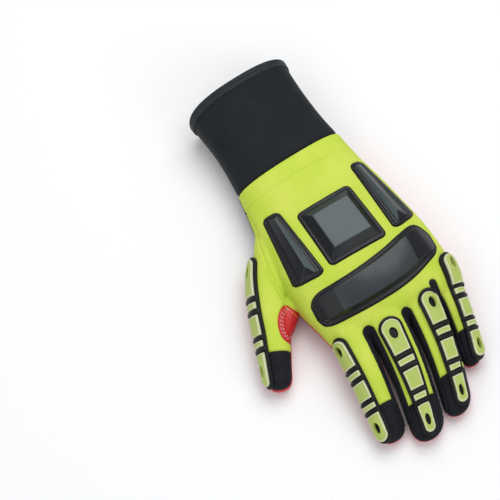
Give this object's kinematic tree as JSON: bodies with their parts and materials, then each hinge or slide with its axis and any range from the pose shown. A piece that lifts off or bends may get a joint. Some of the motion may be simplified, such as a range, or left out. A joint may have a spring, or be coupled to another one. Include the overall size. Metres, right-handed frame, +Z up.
{
  "type": "impact glove",
  "caption": "Padded work glove for the left hand, lying palm down, with rubber impact guards on the back and fingers and a neoprene cuff with a pull tab.",
  "frame": {"origin": "on the surface that the glove lies on, under the middle of its outline", "axes": "+Z up from the palm to the back of the hand, +Y from the cuff to the fingertips, +X towards the thumb"},
  "size_m": [0.1628, 0.3024, 0.0565],
  "materials": {
    "hi_vis_fabric": "fine stretch weave, slight sheen",
    "palm_leather": "synthetic leather with a dot pattern",
    "black_fabric": "fine black stretch weave",
    "cuff_neoprene": "matt knit-faced neoprene",
    "cuff_binding": "folded tape, matt",
    "tab_webbing": "ribbed webbing",
    "pad_rubber": "smooth moulded, semi-gloss",
    "guard_rubber": "smooth moulded, satin",
    "insert_rubber": "smooth moulded, satin"
  },
  "bodies": {
    "root": {"back_panel": "hi_vis_fabric", "centre_pad": "pad_rubber", "cuff": "cuff_neoprene", "cuff_binding": "cuff_binding", "guard_index": "guard_rubber", "guard_little": "guard_rubber", "guard_middle": "guard_rubber", "guard_ring": "guard_rubber", "guard_thumb": "guard_rubber", "index_insert_1": "insert_rubber", "index_insert_2": "insert_rubber", "index_insert_3": "insert_rubber", "index_insert_4": "insert_rubber", "index_insert_5": "insert_rubber", "knuckle_bar": "pad_rubber", "little_insert_1": "insert_rubber", "little_insert_2": "insert_rubber", "little_insert_3": "insert_rubber", "little_insert_4": "insert_rubber", "little_insert_5": "insert_rubber", "little_side_pad": "pad_rubber", "middle_insert_1": "insert_rubber", "middle_insert_2": "insert_rubber", "middle_insert_3": "insert_rubber", "middle_insert_4": "insert_rubber", "middle_insert_5": "insert_rubber", "palm_panel": "palm_leather", "pull_tab": "tab_webbing", "ring_insert_1": "insert_rubber", "ring_insert_2": "insert_rubber", "ring_insert_3": "insert_rubber", "ring_insert_4": "insert_rubber", "ring_insert_5": "insert_rubber", "side_strip_index_middle": "black_fabric", "side_strip_middle_ring": "black_fabric", "side_strip_ring_little": "black_fabric", "thumb_back": "hi_vis_fabric", "thumb_front": "palm_leather", "thumb_insert_1": "insert_rubber", "thumb_insert_2": "insert_rubber", "thumb_insert_3": "insert_rubber", "thumb_insert_4": "insert_rubber", "thumb_insert_5": "insert_rubber", "thumb_side_pad": "pad_rubber", "thumb_web_patch": "palm_leather", "tip_index": "black_fabric", "tip_little": "black_fabric", "tip_middle": "black_fabric", "tip_ring": "black_fabric", "tip_thumb": "black_fabric"}
  },
  "joints": []
}
